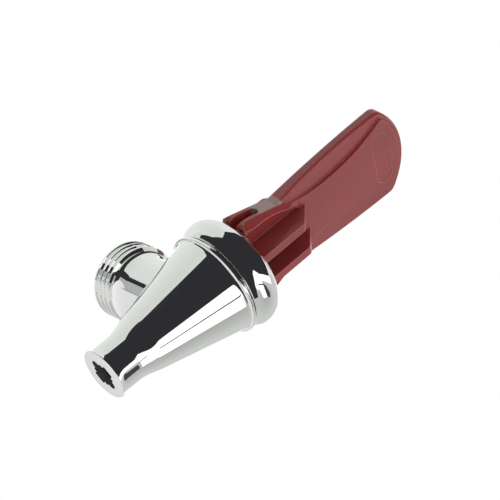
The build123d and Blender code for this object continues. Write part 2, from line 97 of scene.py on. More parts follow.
class Graph:
    """A small writer of shader nodes, for a material or a node group."""

    def __init__(self, tree: bpy.types.NodeTree) -> None:
        """Keep the tree that the nodes go into.

        Args:
            tree: the node tree of a material or a group.
        """
        self.tree = tree

    def node(self, kind: str, **settings: object) -> bpy.types.Node:
        """Add a node.

        Args:
            kind: the node's Blender type name.
            **settings: attributes set on the node.

        Returns:
            The new node.
        """
        made = self.tree.nodes.new(kind)
        for name, value in settings.items():
            setattr(made, name, value)
        return made

    def link(self, source: bpy.types.NodeSocket, target: bpy.types.NodeSocket) -> None:
        """Join an output to an input."""
        self.tree.links.new(source, target)

    def feed(self, socket: bpy.types.NodeSocket, value: object) -> None:
        """Set an input to a number, or link it if the value is a socket.

        Args:
            socket: the input.
            value: a number, a tuple or an output socket.
        """
        if isinstance(value, bpy.types.NodeSocket):
            self.link(value, socket)
        else:
            socket.default_value = value

    def maths(self, operation: str, *values: object) -> bpy.types.NodeSocket:
        """Add a Math node.

        Args:
            operation: the operation's name.
            *values: its inputs, as numbers or sockets.

        Returns:
            The result's socket.
        """
        made = self.node("ShaderNodeMath", operation=operation)
        for socket, value in zip(made.inputs, values):
            self.feed(socket, value)
        return made.outputs[0]

    def noise(
        self,
        where: bpy.types.NodeSocket,
        scale: object,
        detail: float,
        stretch: Place = (1.0, 1.0, 1.0),
    ) -> bpy.types.NodeSocket:
        """Add a noise texture.

        Args:
            where: the coordinates.
            scale: features for each metre.
            detail: how many finer layers it has.
            stretch: scale along each axis, for lines in place of spots.

        Returns:
            The noise's value, from 0 to 1.
        """
        mapping = self.node("ShaderNodeMapping")
        self.fill(mapping, {"Vector": where, "Scale": stretch})
        made = self.node("ShaderNodeTexNoise")
        self.fill(made, {"Vector": mapping.outputs["Vector"], "Scale": scale, "Detail": detail})
        return made.outputs["Fac"]

    def spread(
        self,
        value: bpy.types.NodeSocket,
        low: object,
        high: object,
        start: float = 0.0,
        end: float = 1.0,
    ) -> bpy.types.NodeSocket:
        """Map a value from one range to another, clamped.

        Args:
            value: the value to map.
            low: the result at the range's start.
            high: the result at the range's end.
            start: where the range starts.
            end: where the range ends.

        Returns:
            The mapped value.
        """
        made = self.node("ShaderNodeMapRange")
        self.fill(made, {"Value": value, "From Min": start, "From Max": end})
        self.fill(made, {"To Min": low, "To Max": high})
        return made.outputs["Result"]

    def blend(
        self, mask: bpy.types.NodeSocket, first: object, second: object
    ) -> bpy.types.NodeSocket:
        """Mix two colours by a mask.

        Args:
            mask: 0 gives the first colour and 1 the second.
            first: a colour or a socket.
            second: a colour or a socket.

        Returns:
            The mixed colour.
        """
        made = self.node("ShaderNodeMix", data_type="RGBA")
        self.link(mask, made.inputs["Factor"])
        for name, value in (("A", first), ("B", second)):
            socket = next(s for s in made.inputs if s.name == name and s.type == "RGBA")
            self.feed(socket, (*value, 1.0) if isinstance(value, tuple) else value)
        return next(s for s in made.outputs if s.type == "RGBA")

    def mix(
        self, mask: bpy.types.NodeSocket, first: bpy.types.Node, second: bpy.types.Node
    ) -> bpy.types.Node:
        """Mix two shaders by a mask.

        Args:
            mask: 0 gives the first shader and 1 the second.
            first: a shader node.
            second: a shader node.

        Returns:
            The node that mixes them.
        """
        made = self.node("ShaderNodeMixShader")
        sources = (mask, first.outputs[0], second.outputs[0])
        for source, socket in zip(sources, made.inputs):
            self.link(source, socket)
        return made

    def fill(self, made: bpy.types.Node, values: dict[str, object]) -> None:
        """Set or link several inputs of a node.

        Args:
            made: the node.
            values: each input's name, with its number, tuple or output socket.
        """
        for name, value in values.items():
            self.feed(made.inputs[name], value)

    def place(self) -> bpy.types.NodeSocket:
        """Return the object's own coordinates, in metres."""
        return self.node("ShaderNodeTexCoord").outputs["Object"]

    def axes(self, place: bpy.types.NodeSocket) -> tuple[bpy.types.NodeSocket, ...]:
        """Return the three coordinates of a place.

        Args:
            place: the place, as a vector's socket.

        Returns:
            X, Y and Z.
        """
        made = self.node("ShaderNodeSeparateXYZ")
        self.link(place, made.inputs["Vector"])
        return tuple(made.outputs)

    def radius(
        self, first: bpy.types.NodeSocket, second: bpy.types.NodeSocket
    ) -> bpy.types.NodeSocket:
        """Return the distance from an axis, by the two coordinates across it."""
        squares = [self.maths("MULTIPLY", side, side) for side in (first, second)]
        return self.maths("SQRT", self.maths("ADD", *squares))

    def group(self, tree: bpy.types.NodeTree) -> bpy.types.bpy_prop_collection:
        """Add a shader group, and return its outputs."""
        return self.node("ShaderNodeGroup", node_tree=tree).outputs


def bare_material(name: str) -> tuple[bpy.types.Material, Graph]:
    """Make a material that has no shader yet.

    Args:
        name: the material's name.

    Returns:
        The material and its node writer.
    """
    material = bpy.data.materials.new(name)
    material.use_nodes = True
    material.node_tree.nodes.clear()
    return material, Graph(material.node_tree)


def new_group(name: str, inputs: dict[str, float], outputs: tuple[str, ...]) -> bpy.types.NodeTree:
    """Make an empty shader node group with number sockets.

    Args:
        name: the group's name.
        inputs: each input's name and default.
        outputs: the outputs' names.

    Returns:
        The group's tree.
    """
    tree = bpy.data.node_groups.new(name, "ShaderNodeTree")
    for label, default in inputs.items():
        socket = tree.interface.new_socket(label, in_out="INPUT", socket_type="NodeSocketFloat")
        socket.default_value = default
    for label in outputs:
        tree.interface.new_socket(label, in_out="OUTPUT", socket_type="NodeSocketFloat")
    return tree


# The part of each noise that its mask shows, how the noises are drawn out along the tap's
# height, and how much the finer one adds to the relief
SMEAR_RANGE: Point = (0.48, 0.72)
MARK_RANGE: Point = (0.5, 0.8)
MARK_STRETCH: Place = (1.0, 1.0, 0.12)
FLOW_STRETCH: Place = (1.0, 1.0, 0.35)
MARK_HEIGHT = 0.2
GRAIN_HEIGHT = 0.25


def handling_group() -> bpy.types.NodeTree:
    """Build the shared effect of handling: faint smears and fine rubbing marks.

    Returns:
        A group that puts out a Smear mask, a Marks mask and a Height.
    """
    scales = {"Smear Scale": 90.0, "Mark Scale": 900.0}
    tree = new_group("handling", scales, ("Smear", "Marks", "Height"))
    graph = Graph(tree)
    source = graph.node("NodeGroupInput").outputs
    place = graph.place()
    smear = graph.noise(place, source["Smear Scale"], 3.0)
    marks = graph.noise(place, source["Mark Scale"], 4.0, MARK_STRETCH)
    results = {
        "Smear": graph.spread(smear, 0.0, 1.0, *SMEAR_RANGE),
        "Marks": graph.spread(marks, 0.0, 1.0, *MARK_RANGE),
        "Height": graph.maths("MULTIPLY_ADD", marks, MARK_HEIGHT, smear),
    }
    graph.fill(graph.node("NodeGroupOutput"), results)
    return tree


def skin_group() -> bpy.types.NodeTree:
    """Build the shared skin of a moulding: slow waviness under a fine even grain.

    Returns:
        A group that puts out a Flow mask and a Height.
    """
    scales = {"Flow Scale": 60.0, "Grain Scale": 2500.0}
    tree = new_group("moulded_skin", scales, ("Flow", "Height"))
    graph = Graph(tree)
    source = graph.node("NodeGroupInput").outputs
    place = graph.place()
    flow = graph.noise(place, source["Flow Scale"], 2.0, FLOW_STRETCH)
    grain = graph.noise(place, source["Grain Scale"], 2.0)
    height = graph.maths("MULTIPLY_ADD", grain, GRAIN_HEIGHT, flow)
    graph.fill(graph.node("NodeGroupOutput"), {"Flow": flow, "Height": height})
    return tree


# ---- finishes


@dataclass(frozen=True)
class Effects:
    """The shader groups that the finishes share."""

    handling: bpy.types.NodeTree
    skin: bpy.types.NodeTree


@dataclass(frozen=True)
class Finish:
    """What every finish has: a name, a colour and the way it scatters light."""

    name: str
    color: Rgb
    roughness: float
    metallic: float = 0.0
    bump_mm: float = 0.004
    edge_mm: float = 0.0
    edge_samples: int = 8

    def build(self, effects: Effects) -> bpy.types.Material:
        """Build the material round its Principled shader.

        Args:
            effects: the shared shader groups.

        Returns:
            The material.
        """
        material = bpy.data.materials.new(self.name)
        material.use_nodes = True
        material.diffuse_color = (*self.color, 1.0)
        graph = Graph(material.node_tree)
        shader = next(n for n in material.node_tree.nodes if n.type == "BSDF_PRINCIPLED")
        graph.fill(shader, {"Base Color": (*self.color, 1.0), "Roughness": self.roughness})
        graph.fill(shader, {"Metallic": self.metallic})
        self.paint(graph, shader, effects)
        return material

    def paint(self, graph: Graph, shader: bpy.types.Node, effects: Effects) -> None:
        """Add the finish's own colours and marks to its shader.

        Args:
            graph: the material's node writer.
            shader: the Principled shader.
            effects: the shared shader groups.
        """
        raise NotImplementedError

    def rounded(self, graph: Graph) -> bpy.types.NodeSocket:
        """Add a normal that makes edges look slightly rounded.

        Args:
            graph: the material's node writer.

        Returns:
            The normal.
        """
        edge = graph.node("ShaderNodeBevel", samples=self.edge_samples)
        edge.inputs["Radius"].default_value = self.edge_mm * MM
        return edge.outputs["Normal"]

    def add_bump(self, graph: Graph, shader: bpy.types.Node, height: bpy.types.NodeSocket) -> None:
        """Turn a height into the shader's normal, over rounded edges if it has them.

        Args:
            graph: the material's node writer.
            shader: the Principled shader.
            height: the height, from 0 to about 1.
        """
        bump = graph.node("ShaderNodeBump")
        if self.edge_mm:
            graph.link(self.rounded(graph), bump.inputs["Normal"])
        distance = self.bump_mm * MM
        graph.fill(bump, {"Strength": 1.0, "Distance": distance, "Height": height})
        graph.link(bump.outputs["Normal"], shader.inputs["Normal"])


@dataclass(frozen=True)
class ChromePlate(Finish):
    """Polished chrome outside, with the casting dull inside the waterway and darkened there as
    painted shade.
    """

    # dull: the casting's dull colour inside the waterway, made dark as painted shade of the bore;
    # partly its own finish, partly painted shade
    dull: Rgb = (0.09, 0.088, 0.08)
    dull_roughness: float = 0.6
    smear_rough: float = 0.05
    mark_rough: float = 0.015
    bore_radius: float = 5.3
    bore_spread: float = 0.15
    bore_start: float = -29.2
    inlet_radius: float = 4.9

    def paint(self, graph: Graph, shader: bpy.types.Node, effects: Effects) -> None:
        """Dull the waterway and darken it as painted shade, and add smears and rubbing marks to the
        plate.

        Args:
            graph: the material's node writer.
            shader: the Principled shader.
            effects: the shared shader groups.
        """
        inside = self.waterway(graph)
        handling = graph.group(effects.handling)
        roughest = self.roughness + self.smear_rough
        smeared = graph.spread(handling["Smear"], self.roughness, roughest)
        rubbed = graph.maths("MULTIPLY_ADD", handling["Marks"], self.mark_rough, smeared)
        looks = {
            # painted shade: the waterway takes the dark dull colour
            "Base Color": graph.blend(inside, self.color, self.dull),
            "Roughness": graph.spread(inside, rubbed, self.dull_roughness),
            "Metallic": graph.spread(inside, self.metallic, 0.0),
        }
        graph.fill(shader, looks)
        self.add_bump(graph, shader, handling["Height"])

    def waterway(self, graph: Graph) -> bpy.types.NodeSocket:
        """Mask the waterway, inside the spout and chamber and inside the inlet shank.

        Args:
            graph: the material's node writer.

        Returns:
            1 inside and 0 outside.
        """
        x, y, z = graph.axes(graph.place())
        above = graph.maths("SUBTRACT", z, self.bore_start * MM)
        limit = graph.maths("MULTIPLY_ADD", above, self.bore_spread, self.bore_radius * MM)
        from_spout = graph.radius(x, graph.maths("ADD", y, STAND_OFF * MM))
        near_spout = graph.maths("LESS_THAN", from_spout, limit)
        spout = graph.maths("MULTIPLY", near_spout, graph.maths("GREATER_THAN", above, 0.0))
        near_inlet = graph.maths("LESS_THAN", graph.radius(x, z), self.inlet_radius * MM)
        behind = graph.maths("GREATER_THAN", y, -STAND_OFF * MM)
        inlet = graph.maths("MULTIPLY", near_inlet, behind)
        return graph.maths("MAXIMUM", spout, inlet)


@dataclass(frozen=True)
class RedMoulding(Finish):
    """Dark red moulded plastic: satin, warmer where it is thin, with a painted reflection on the
    hub's sides and a painted highlight along its edges.
    """

    deep: Rgb = (0.2, 0.024, 0.022)
    # pale: the colour of the painted highlight along the edges
    pale: Rgb = (0.42, 0.20, 0.18)
    # rubbed: the colour of the reflection painted on the hub's side flats
    rubbed: Rgb = (0.27, 0.18, 0.165)
    flow_range: Point = (0.3, 0.7)
    smear_rough: float = 0.1
    sheen_level: float = 0.8
    glow: float = 0.6
    glow_spread: Rgb = (1.0, 0.14, 0.08)
    glow_depth: float = 2.5
    edge_highlight_strength: float = 0.8
    edge_range: Point = (0.80, 0.985)
    lever_turn: float = 12.0
    strip_half_width: float = 2.3
    strip_inset: float = 9.5
    strip_border: float = 0.3
    strip_low: float = 27.6
    strip_fade_in: float = 1.0
    strip_high: float = 34.9
    strip_fade_out: float = 0.5

    def paint(self, graph: Graph, shader: bpy.types.Node, effects: Effects) -> None:
        """Add the two reds, the painted reflection on the hub's sides, the painted edge highlights
        and the glow.

        Args:
            graph: the material's node writer.
            shader: the Principled shader.
            effects: the shared shader groups.
        """
        skin, handling = graph.group(effects.skin), graph.group(effects.handling)
        flow = graph.spread(skin["Flow"], 0.0, 1.0, *self.flow_range)
        plain = graph.blend(flow, self.deep, self.color)
        # painted reflection: the hub's side flats take the greyish colour
        sides = graph.blend(self.painted_side_reflection(graph), plain, self.rubbed)
        roughest = self.roughness + self.smear_rough
        looks = {
            # painted highlight: the edges are painted pale over the other colours
            "Base Color": graph.blend(self.edges(graph), sides, self.pale),
            "Roughness": graph.spread(handling["Smear"], self.roughness, roughest),
            "Specular IOR Level": self.sheen_level,
            "Subsurface Weight": self.glow,
            "Subsurface Radius": self.glow_spread,
            "Subsurface Scale": self.glow_depth * MM,
        }
        graph.fill(shader, looks)
        self.add_bump(graph, shader, skin["Height"])

    def edges(self, graph: Graph) -> bpy.types.NodeSocket:
        """Mask the narrow band along each edge, which is painted paler as a highlight.

        Args:
            graph: the material's node writer.

        Returns:
            The painted highlight's strength on the edge, falling to 0 beside it.
        """
        alike = graph.node("ShaderNodeVectorMath", operation="DOT_PRODUCT")
        graph.link(self.rounded(graph), alike.inputs[0])
        graph.link(graph.node("ShaderNodeNewGeometry").outputs["Normal"], alike.inputs[1])
        return graph.spread(alike.outputs["Value"], self.edge_highlight_strength, 0.0, *self.edge_range)

    def painted_side_reflection(self, graph: Graph) -> bpy.types.NodeSocket:
        """Mask the narrow flat on each side of the hub, above its notch, where a reflection is
        painted.

        Args:
            graph: the material's node writer.

        Returns:
            1 on the flats and 0 elsewhere, with soft borders.
        """
        turned = graph.node("ShaderNodeVectorRotate", rotation_type="Z_AXIS")
        centre = (0.0, -STAND_OFF * MM, 0.0)
        graph.fill(turned, {"Vector": graph.place(), "Center": centre})
        turned.inputs["Angle"].default_value = -math.radians(self.lever_turn)
        x, y, z = graph.axes(turned.outputs["Vector"])
        depth = graph.maths("ABSOLUTE", graph.maths("ADD", y, STAND_OFF * MM))
        aside = graph.maths("ABSOLUTE", x)
        borders = (
            (depth, 1.0, 0.0, self.strip_half_width - self.strip_border, self.strip_half_width),
            (aside, 0.0, 1.0, self.strip_inset - self.strip_border, self.strip_inset),
            (z, 0.0, 1.0, self.strip_low - self.strip_fade_in, self.strip_low),
            (z, 1.0, 0.0, self.strip_high - self.strip_fade_out, self.strip_high),
        )
        narrow, outer, above, below = (
            graph.spread(value, low, high, start * MM, end * MM)
            for value, low, high, start, end in borders
        )
        band = graph.maths("MULTIPLY", above, below)
        return graph.maths("MULTIPLY", graph.maths("MULTIPLY", narrow, outer), band)


@dataclass(frozen=True)
class PlainMoulding(Finish):
    """Pale moulded plastic or rubber, which may let some light through."""

    shade: Rgb = (0.7, 0.69, 0.65)
    let_through: float = 0.0
    let_through_depth: float = 1.0
    flow_range: Point = (0.35, 0.65)
    flow_rough: float = 0.12

    def paint(self, graph: Graph, shader: bpy.types.Node, effects: Effects) -> None:
        """Add the shade that follows the skin's waviness.

        Args:
            graph: the material's node writer.
            shader: the Principled shader.
            effects: the shared shader groups.
        """
        skin = graph.group(effects.skin)
        flow = graph.spread(skin["Flow"], 0.0, 1.0, *self.flow_range)
        roughest = self.roughness + self.flow_rough
        looks = {
            "Base Color": graph.blend(flow, self.shade, self.color),
            "Roughness": graph.spread(skin["Flow"], self.roughness, roughest),
            "Subsurface Weight": self.let_through,
            "Subsurface Scale": self.let_through_depth * MM,
        }
        graph.fill(shader, looks)
        self.add_bump(graph, shader, skin["Height"])


@dataclass(frozen=True)
class TurnedSteel(Finish):
    """Stainless steel with the fine rings that turning leaves."""

    dull: Rgb = (0.42, 0.42, 0.41)
    rings_per_mm: float = 6.0
    ring_stretch: Place = (0.02, 0.02, 1.0)
    smear_rough: float = 0.15

    def paint(self, graph: Graph, shader: bpy.types.Node, effects: Effects) -> None:
        """Add the rings and the smears.

        Args:
            graph: the material's node writer.
            shader: the Principled shader.
            effects: the shared shader groups.
        """
        rings = graph.noise(graph.place(), self.rings_per_mm / MM, 2.0, self.ring_stretch)
        smear = graph.group(effects.handling)["Smear"]
        roughest = self.roughness + self.smear_rough
        looks = {
            "Base Color": graph.blend(rings, self.dull, self.color),
            "Roughness": graph.spread(smear, self.roughness, roughest),
        }
        graph.fill(shader, looks)
        self.add_bump(graph, shader, rings)


# ---- mesh helpers


def hermite(start: Point, leave: Point, end: Point, arrive: Point, steps: int = 10) -> list[Point]:
    """Sample the smooth curve between two points with given directions.

    Args:
        start: the first point.
        leave: the direction at the start.
        end: the last point.
        arrive: the direction at the end.
        steps: how many pieces the curve is cut into.

    Returns:
        The points from start to end, both included.
    """
    chord = math.dist(start, end)
    first = Vector(leave).normalized() * chord
    last = Vector(arrive).normalized() * chord
    points = []
    for i in range(steps + 1):
        t = i / steps
        weights = (
            2 * t**3 - 3 * t**2 + 1,
            t**3 - 2 * t**2 + t,
            -2 * t**3 + 3 * t**2,
            t**3 - t**2,
        )
        where = (
            Vector(start) * weights[0]
            + first * weights[1]
            + Vector(end) * weights[2]
            + last * weights[3]
        )
        points.append((where.x, where.y))
    return points


def quarter(centre: Point, radius: float, begin: float, steps: int = 4) -> list[Point]:
    """Sample a quarter circle, turning anticlockwise.

    Args:
        centre: the circle's centre.
        radius: its radius.
        begin: the angle in degrees where it begins.
        steps: how many pieces it is cut into.

    Returns:
        The points, both ends included.
    """
    angles = [math.radians(begin + 90 * i / steps) for i in range(steps + 1)]
    return [(centre[0] + radius * math.cos(a), centre[1] + radius * math.sin(a)) for a in angles]


def lathe(name: str, profile: list[Point], segments: int, axis: LatheAxis) -> bpy.types.Object:
    """Turn a profile into a closed solid.

    Args:
        name: the object's name.
        profile: radius and distance along the axis in millimetres, from pole to pole.
        segments: how many facets go round.
        axis: the axis to turn about.

    Returns:
        The solid, with its place in its mesh.
    """
    mesh = bmesh.new()
    rings = []
    for radius, along in profile:
        ring = []
        for i in range(1 if radius < POLE_RADIUS else segments):
            turn = 2 * math.pi * i / segments
            across, other = radius * math.cos(turn), radius * math.sin(turn)
            ring.append(mesh.verts.new(axis_point(across, other, along, axis)))
        rings.append(ring)
    for low, high in zip(rings, rings[1:]):
        for i in range(segments):
            corners = [low[i % len(low)], low[(i + 1) % len(low)]]
            corners += [high[(i + 1) % len(high)], high[i % len(high)]]
            mesh.faces.new(dict.fromkeys(corners))
    bmesh.ops.recalc_face_normals(mesh, faces=mesh.faces)
    return to_object(name, mesh)


def axis_point(across: float, other: float, along: float, axis: LatheAxis) -> Vector:
    """Place a turned point in the part's frame, in metres.

    Args:
        across: the distance from the axis towards +X.
        other: the distance from the axis at right angles to that.
        along: the distance along the axis.
        axis: the axis that the point belongs to.

    Returns:
        The point.
    """
    if axis is LatheAxis.SPOUT:
        return Vector((across, other - STAND_OFF, along)) * MM
    return Vector((across, along, -other)) * MM


def to_object(name: str, mesh: bmesh.types.BMesh) -> bpy.types.Object:
    """Turn a bmesh into a linked object at the origin.

    Args:
        name: the object's name.
        mesh: the mesh, which is freed.

    Returns:
        The object.
    """
    data = bpy.data.meshes.new(name)
    mesh.to_mesh(data)
    mesh.free()
    made = bpy.data.objects.new(name, data)
    bpy.context.scene.collection.objects.link(made)
    return made


def bake(piece: bpy.types.Object) -> None:
    """Turn an object's modifiers into its plain mesh, and remove them."""
    graph = bpy.context.evaluated_depsgraph_get()
    baked = bpy.data.meshes.new_from_object(piece.evaluated_get(graph))
    piece.modifiers.clear()
    old = piece.data
    piece.data = baked
    bpy.data.meshes.remove(old)


def combine(piece: bpy.types.Object, tool: bpy.types.Object, kind: BooleanKind) -> None:
    """Join a second solid to a piece, or cut it out of the piece.

    Args:
        piece: the solid that changes.
        tool: the other solid, which is removed afterwards.
        kind: join or cut.
    """
    change = piece.modifiers.new(kind.name.lower(), "BOOLEAN")
    change.operation = kind.value
    change.solver = "EXACT"
    change.object = tool
    bake(piece)
    bpy.data.objects.remove(tool)


def smooth(piece: bpy.types.Object, corner: float) -> None:
    """Shade a piece smooth, with edges sharper than a corner angle left crisp.

    Args:
        piece: the mesh object.
        corner: the angle in degrees.
    """
    piece.data.shade_smooth()
    piece.data.set_sharp_from_angle(angle=math.radians(corner))


def dress(piece: bpy.types.Object, material: bpy.types.Material) -> None:
    """Give a mesh one material, in place of any that it had."""
    piece.data.materials.clear()
    piece.data.materials.append(material)


# ---- the tap's pieces


@dataclass
class ThreadCutter:
    """The groove of the inlet's half inch pipe thread, as a solid to cut with."""

    pitch: float = 1.814
    crest_radius: float = 10.4775
    depth: float = 1.162
    root_flat: float = 0.3
    mouth: float = 1.76
    overshoot: float = 0.5
    start: float = -1.3
    turns: float = 5.6
    steps_per_turn: int = 96

    def tree(self) -> bpy.types.NodeTree:
        """Build the Geometry Nodes tree that sweeps the groove's section along a helix.

        Returns:
            The tree, with named inputs for its sizes in metres.
        """
        tree = bpy.data.node_groups.new("thread_groove", "GeometryNodeTree")
        for label, kind, default in (
            ("Pitch", "NodeSocketFloat", self.pitch * MM),
            ("Turns", "NodeSocketFloat", self.turns),
            ("Radius", "NodeSocketFloat", self.crest_radius * MM),
            ("Section Height", "NodeSocketFloat", (self.depth + self.overshoot) * MM),
            ("Root Width", "NodeSocketFloat", self.root_flat * MM),
            ("Mouth Width", "NodeSocketFloat", self.mouth * MM),
            ("Steps", "NodeSocketInt", self.steps_per_turn),
            ("Start", "NodeSocketFloat", self.start * MM),
        ):
            socket = tree.interface.new_socket(label, in_out="INPUT", socket_type=kind)
            socket.default_value = default
        tree.interface.new_socket("Mesh", in_out="OUTPUT", socket_type="NodeSocketGeometry")
        graph = Graph(tree)
        sizes = graph.node("NodeGroupInput").outputs
        helix = graph.node("GeometryNodeCurveSpiral")
        rise = graph.maths("MULTIPLY", sizes["Pitch"], sizes["Turns"])
        graph.fill(helix, {"Resolution": sizes["Steps"], "Rotations": sizes["Turns"]})
        graph.fill(helix, {"Start Radius": sizes["Radius"], "End Radius": sizes["Radius"]})
        graph.link(rise, helix.inputs["Height"])
        upright = graph.node("GeometryNodeSetCurveNormal", mode="Z_UP")
        graph.link(helix.outputs["Curve"], upright.inputs["Curve"])
        section = graph.node("GeometryNodeCurvePrimitiveQuadrilateral", mode="TRAPEZOID")
        graph.fill(section, {"Height": sizes["Section Height"], "Offset": 0.0})
        graph.fill(section, {"Top Width": sizes["Root Width"]})
        graph.fill(section, {"Bottom Width": sizes["Mouth Width"]})
        # The section's narrow side points at the axis, and reaches the thread's root
        inward = ((self.depth - self.overshoot) / 2 * MM, 0.0, 0.0)
        turned = graph.node("GeometryNodeTransform")
        graph.fill(turned, {"Rotation": (0.0, 0.0, -math.pi / 2), "Translation": inward})
        graph.link(section.outputs["Curve"], turned.inputs["Geometry"])
        sweep = graph.node("GeometryNodeCurveToMesh")
        graph.fill(sweep, {"Curve": upright.outputs["Curve"], "Fill Caps": True})
        graph.link(turned.outputs["Geometry"], sweep.inputs["Profile Curve"])
        laid = graph.node("GeometryNodeTransform")
        laid.inputs["Rotation"].default_value = (-math.pi / 2, 0.0, 0.0)
        graph.link(sweep.outputs["Mesh"], laid.inputs["Geometry"])
        shift = graph.node("ShaderNodeCombineXYZ")
        graph.link(sizes["Start"], shift.inputs["Y"])
        last = graph.node("GeometryNodeTransform")
        graph.link(shift.outputs["Vector"], last.inputs["Translation"])
        graph.link(laid.outputs["Geometry"], last.inputs["Geometry"])
        for kind in ("GeometryNodeRealizeInstances", "GeometryNodeSetMaterial"):
            made = graph.node(kind)
            graph.link(last.outputs["Geometry"], made.inputs["Geometry"])
            last = made
        graph.link(last.outputs["Geometry"], graph.node("NodeGroupOutput").inputs["Mesh"])
        return tree

    def build(self) -> bpy.types.Object:
        """Make the groove's solid.

        Returns:
            A closed mesh object that winds round the shank.
        """
        piece = to_object("thread_groove", bmesh.new())
        nodes = piece.modifiers.new("groove", "NODES")
        nodes.node_group = self.tree()
        bake(piece)
        return piece


@dataclass
class ChromeBody:
    """The cast body: spout, cone, lip, neck, chamber, cross-shaped outlet and threaded shank."""

    spout_end: float = -29.5
    end_radius: float = 7.3
    end_round: float = 0.3
    spout_radius: float = 6.85
    flare: float = 2.6
    nozzle: float = 6.6
    cone_start: Point = (8.6, 14.4)
    cone_end: Point = (13.65, 37.4)
    lip_radius: float = 14.85
    lip_height: float = 38.6
    lip_thickness: float = 1.1
    lip_round: float = 0.4
    lip_lean: Point = (1.0, 1.2)
    lip_shelf: float = 0.3
    neck_radius: float = 12.6
    neck_length: float = 4.8
    outlet_plate: float = 2.4
    outlet_radius: float = 4.3
    seat: float = 16.5
    seat_rise: float = 1.5
    seat_width: float = 0.9
    floor_radius: float = 6.2
    taper: float = 11.0
    chamber_radius: float = 8.6
    flange_seat: float = 34.9
    barrel_radius: float = 10.5
    outlet_turn: float = -35.0
    slot_length: float = 8.9
    slot_tip: float = 2.7
    root_length: float = 5.6
    root_width: float = 4.9
    bar_length: float = 7.4
    bar_width: float = 3.4
    thread_radius: float = 10.4775
    thread_length: float = 7.2
    thread_chamfer: float = 0.7
    thread_relief: float = 1.2
    shank_neck: float = 9.25
    shank_waist: float = 8.7
    waist_length: float = 3.2
    inlet_radius: float = 4.6
    wall_bite: float = 0.3
    segments: int = 224
    bore_segments: int = 96
    face_ring: float = 3.0
    end_lean: Point = (-0.5, 1.0)
    relief_lean: Point = (0.3, 1.0)
    lip_sink: float = 0.03
    nozzle_steps: int = 16
    cone_steps: int = 12
    lip_steps: int = 8
    cut_clear: float = 0.5
    bore_clear: float = 1.0
    corner: float = 32.0
    groove: ThreadCutter = field(default_factory=ThreadCutter)

    def shell_profile(self) -> list[Point]:
        """Return the body's outline above the outlet, outside up and chamber down."""
        lean = (
            (self.cone_end[0] - self.cone_start[0]) / (self.cone_end[1] - self.cone_start[1]),
            1.0,
        )
        outline: list[Point] = [(0.0, 0.0), (self.face_ring, 0.0)]
        outline += quarter((self.end_radius - self.end_round, self.end_round), self.end_round, -90)
        end_top, flare_top = (self.end_radius, self.end_round), (self.spout_radius, self.flare)
        outline += hermite(end_top, self.end_lean, flare_top, (0.0, 1.0))[1:]
        nozzle = (self.spout_radius, self.nozzle)
        outline += hermite(nozzle, (0.0, 1.0), self.cone_start, lean, self.nozzle_steps)
        for i in range(1, self.cone_steps + 1):
            t = i / self.cone_steps
            outline.append(
                (
                    self.cone_start[0] + t * (self.cone_end[0] - self.cone_start[0]),
                    self.cone_start[1] + t * (self.cone_end[1] - self.cone_start[1]),
                )
            )
        inner_lip = self.lip_radius - self.lip_round
        under_lip = (inner_lip - self.lip_shelf, self.lip_height - self.lip_sink)
        outline += hermite(self.cone_end, lean, under_lip, self.lip_lean, self.lip_steps)[1:]
        outline += [(inner_lip, self.lip_height)]
        outline += quarter((inner_lip, self.lip_height + self.lip_round), self.lip_round, -90)[1:]
        lip_top = self.lip_height + self.lip_thickness
        outline += quarter((inner_lip, lip_top - self.lip_round), self.lip_round, 0)
        neck_top = lip_top + self.neck_length
        outline += [(self.neck_radius, lip_top), (self.neck_radius, neck_top)]
        outline += [(self.barrel_radius, neck_top), (self.barrel_radius, self.flange_seat)]
        floor = self.seat - self.seat_rise
        outline += [(self.chamber_radius, self.flange_seat)]
        outline += [(self.chamber_radius, floor + self.taper)]
        seat_radius = self.outlet_radius + self.seat_width
        outline += [(self.floor_radius, floor), (seat_radius, floor), (seat_radius, self.seat)]
        outline += [(self.outlet_radius, self.seat), (self.outlet_radius, self.outlet_plate)]
        outline += [(0.0, self.outlet_plate)]
        return [(radius, height + self.spout_end) for radius, height in outline]

    def shank_profile(self) -> list[Point]:
        """Return the shank's outline from inside the cone out to the thread's end."""
        root = -STAND_OFF + self.outlet_radius
        waist_end = -self.thread_relief - self.waist_length
        outline: list[Point] = [(0.0, root), (self.shank_waist, root)]
        waist, neck = (self.shank_waist, waist_end), (self.shank_neck, -self.thread_relief)
        outline += hermite(waist, (0.0, 1.0), neck, self.relief_lean)
        outline += [(self.thread_radius, 0.0)]
        outline += [(self.thread_radius, self.thread_length - self.thread_chamfer)]
        outline += [(self.thread_radius - self.thread_chamfer, self.thread_length)]
        outline += [(0.0, self.thread_length)]
        return outline

    def room_profile(self) -> list[Point]:
        """Return the outline of the room that the shank leaves free, inside the body's wall."""
        floor = self.seat - self.seat_rise
        top = self.lip_height + self.lip_thickness + self.neck_length
        chamber, barrel = self.chamber_radius + self.wall_bite, self.barrel_radius + self.wall_bite
        outline: list[Point] = [(0.0, floor), (self.floor_radius + self.wall_bite, floor)]
        outline += [(chamber, floor + self.taper), (chamber, self.flange_seat - self.wall_bite)]
        outline += [(barrel, self.flange_seat - self.wall_bite), (barrel, top), (0.0, top)]
        return [(radius, height + self.spout_end) for radius, height in outline]

